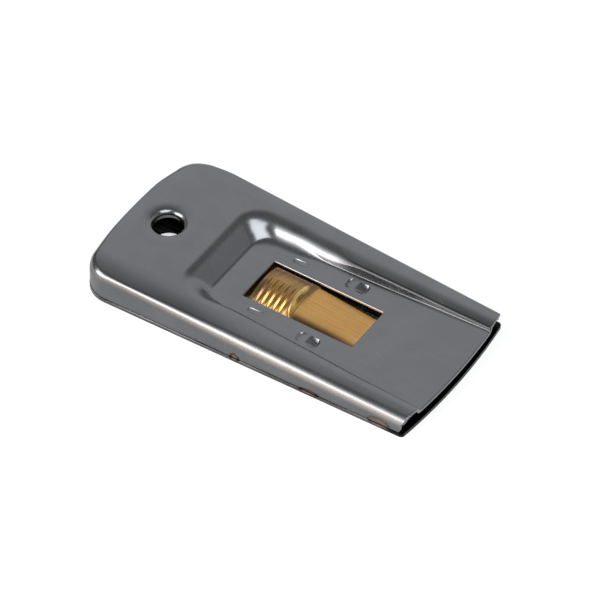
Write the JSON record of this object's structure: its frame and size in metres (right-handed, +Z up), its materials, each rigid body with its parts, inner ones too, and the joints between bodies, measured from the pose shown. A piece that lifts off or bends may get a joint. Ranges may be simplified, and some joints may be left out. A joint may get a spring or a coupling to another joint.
{
  "type": "razor blade scraper",
  "caption": "Flat pocket scraper: a wedge-shaped pressed-steel case with a hang hole, a thumb channel and a brass slide that pushes a single-edge razor blade out of the front.",
  "frame": {"origin": "middle of the underside of the case", "axes": "+X from the hang hole towards the blade, +Z up from the flat underside"},
  "size_m": [0.0874, 0.0448, 0.0083],
  "materials": {
    "case_steel": "nickel-plated pressed steel with fine rub marks",
    "plate_steel": "plated flat steel plate, sheared edges",
    "weld_metal": "fused steel, heat-tinted",
    "slide_brass": "bright rolled spring brass",
    "carrier_steel": "plain rolled spring steel",
    "rivet_brass": "upset brass rivet",
    "blade_steel": "polished blade steel with a ground bevel",
    "spine_steel": "folded tin-plated steel strip"
  },
  "bodies": {
    "case": {"upper_case": "case_steel", "lower_plate": "plate_steel", "seam_welds": "weld_metal"},
    "slide": {"thumb_slide": "slide_brass", "blade_carrier": "carrier_steel", "carrier_rivets": "rivet_brass"},
    "blade": {"razor_blade": "blade_steel", "blade_spine": "spine_steel"}
  },
  "joints": [
    {"name": "thumb_travel", "type": "slide", "parent": "case", "child": "slide", "axis": [1, 0, 0], "range_m": [0, 0.016]},
    {"name": "blade_pull", "type": "slide", "parent": "slide", "child": "blade", "axis": [1, 0, 0], "range_m": [0, 0.023]}
  ]
}
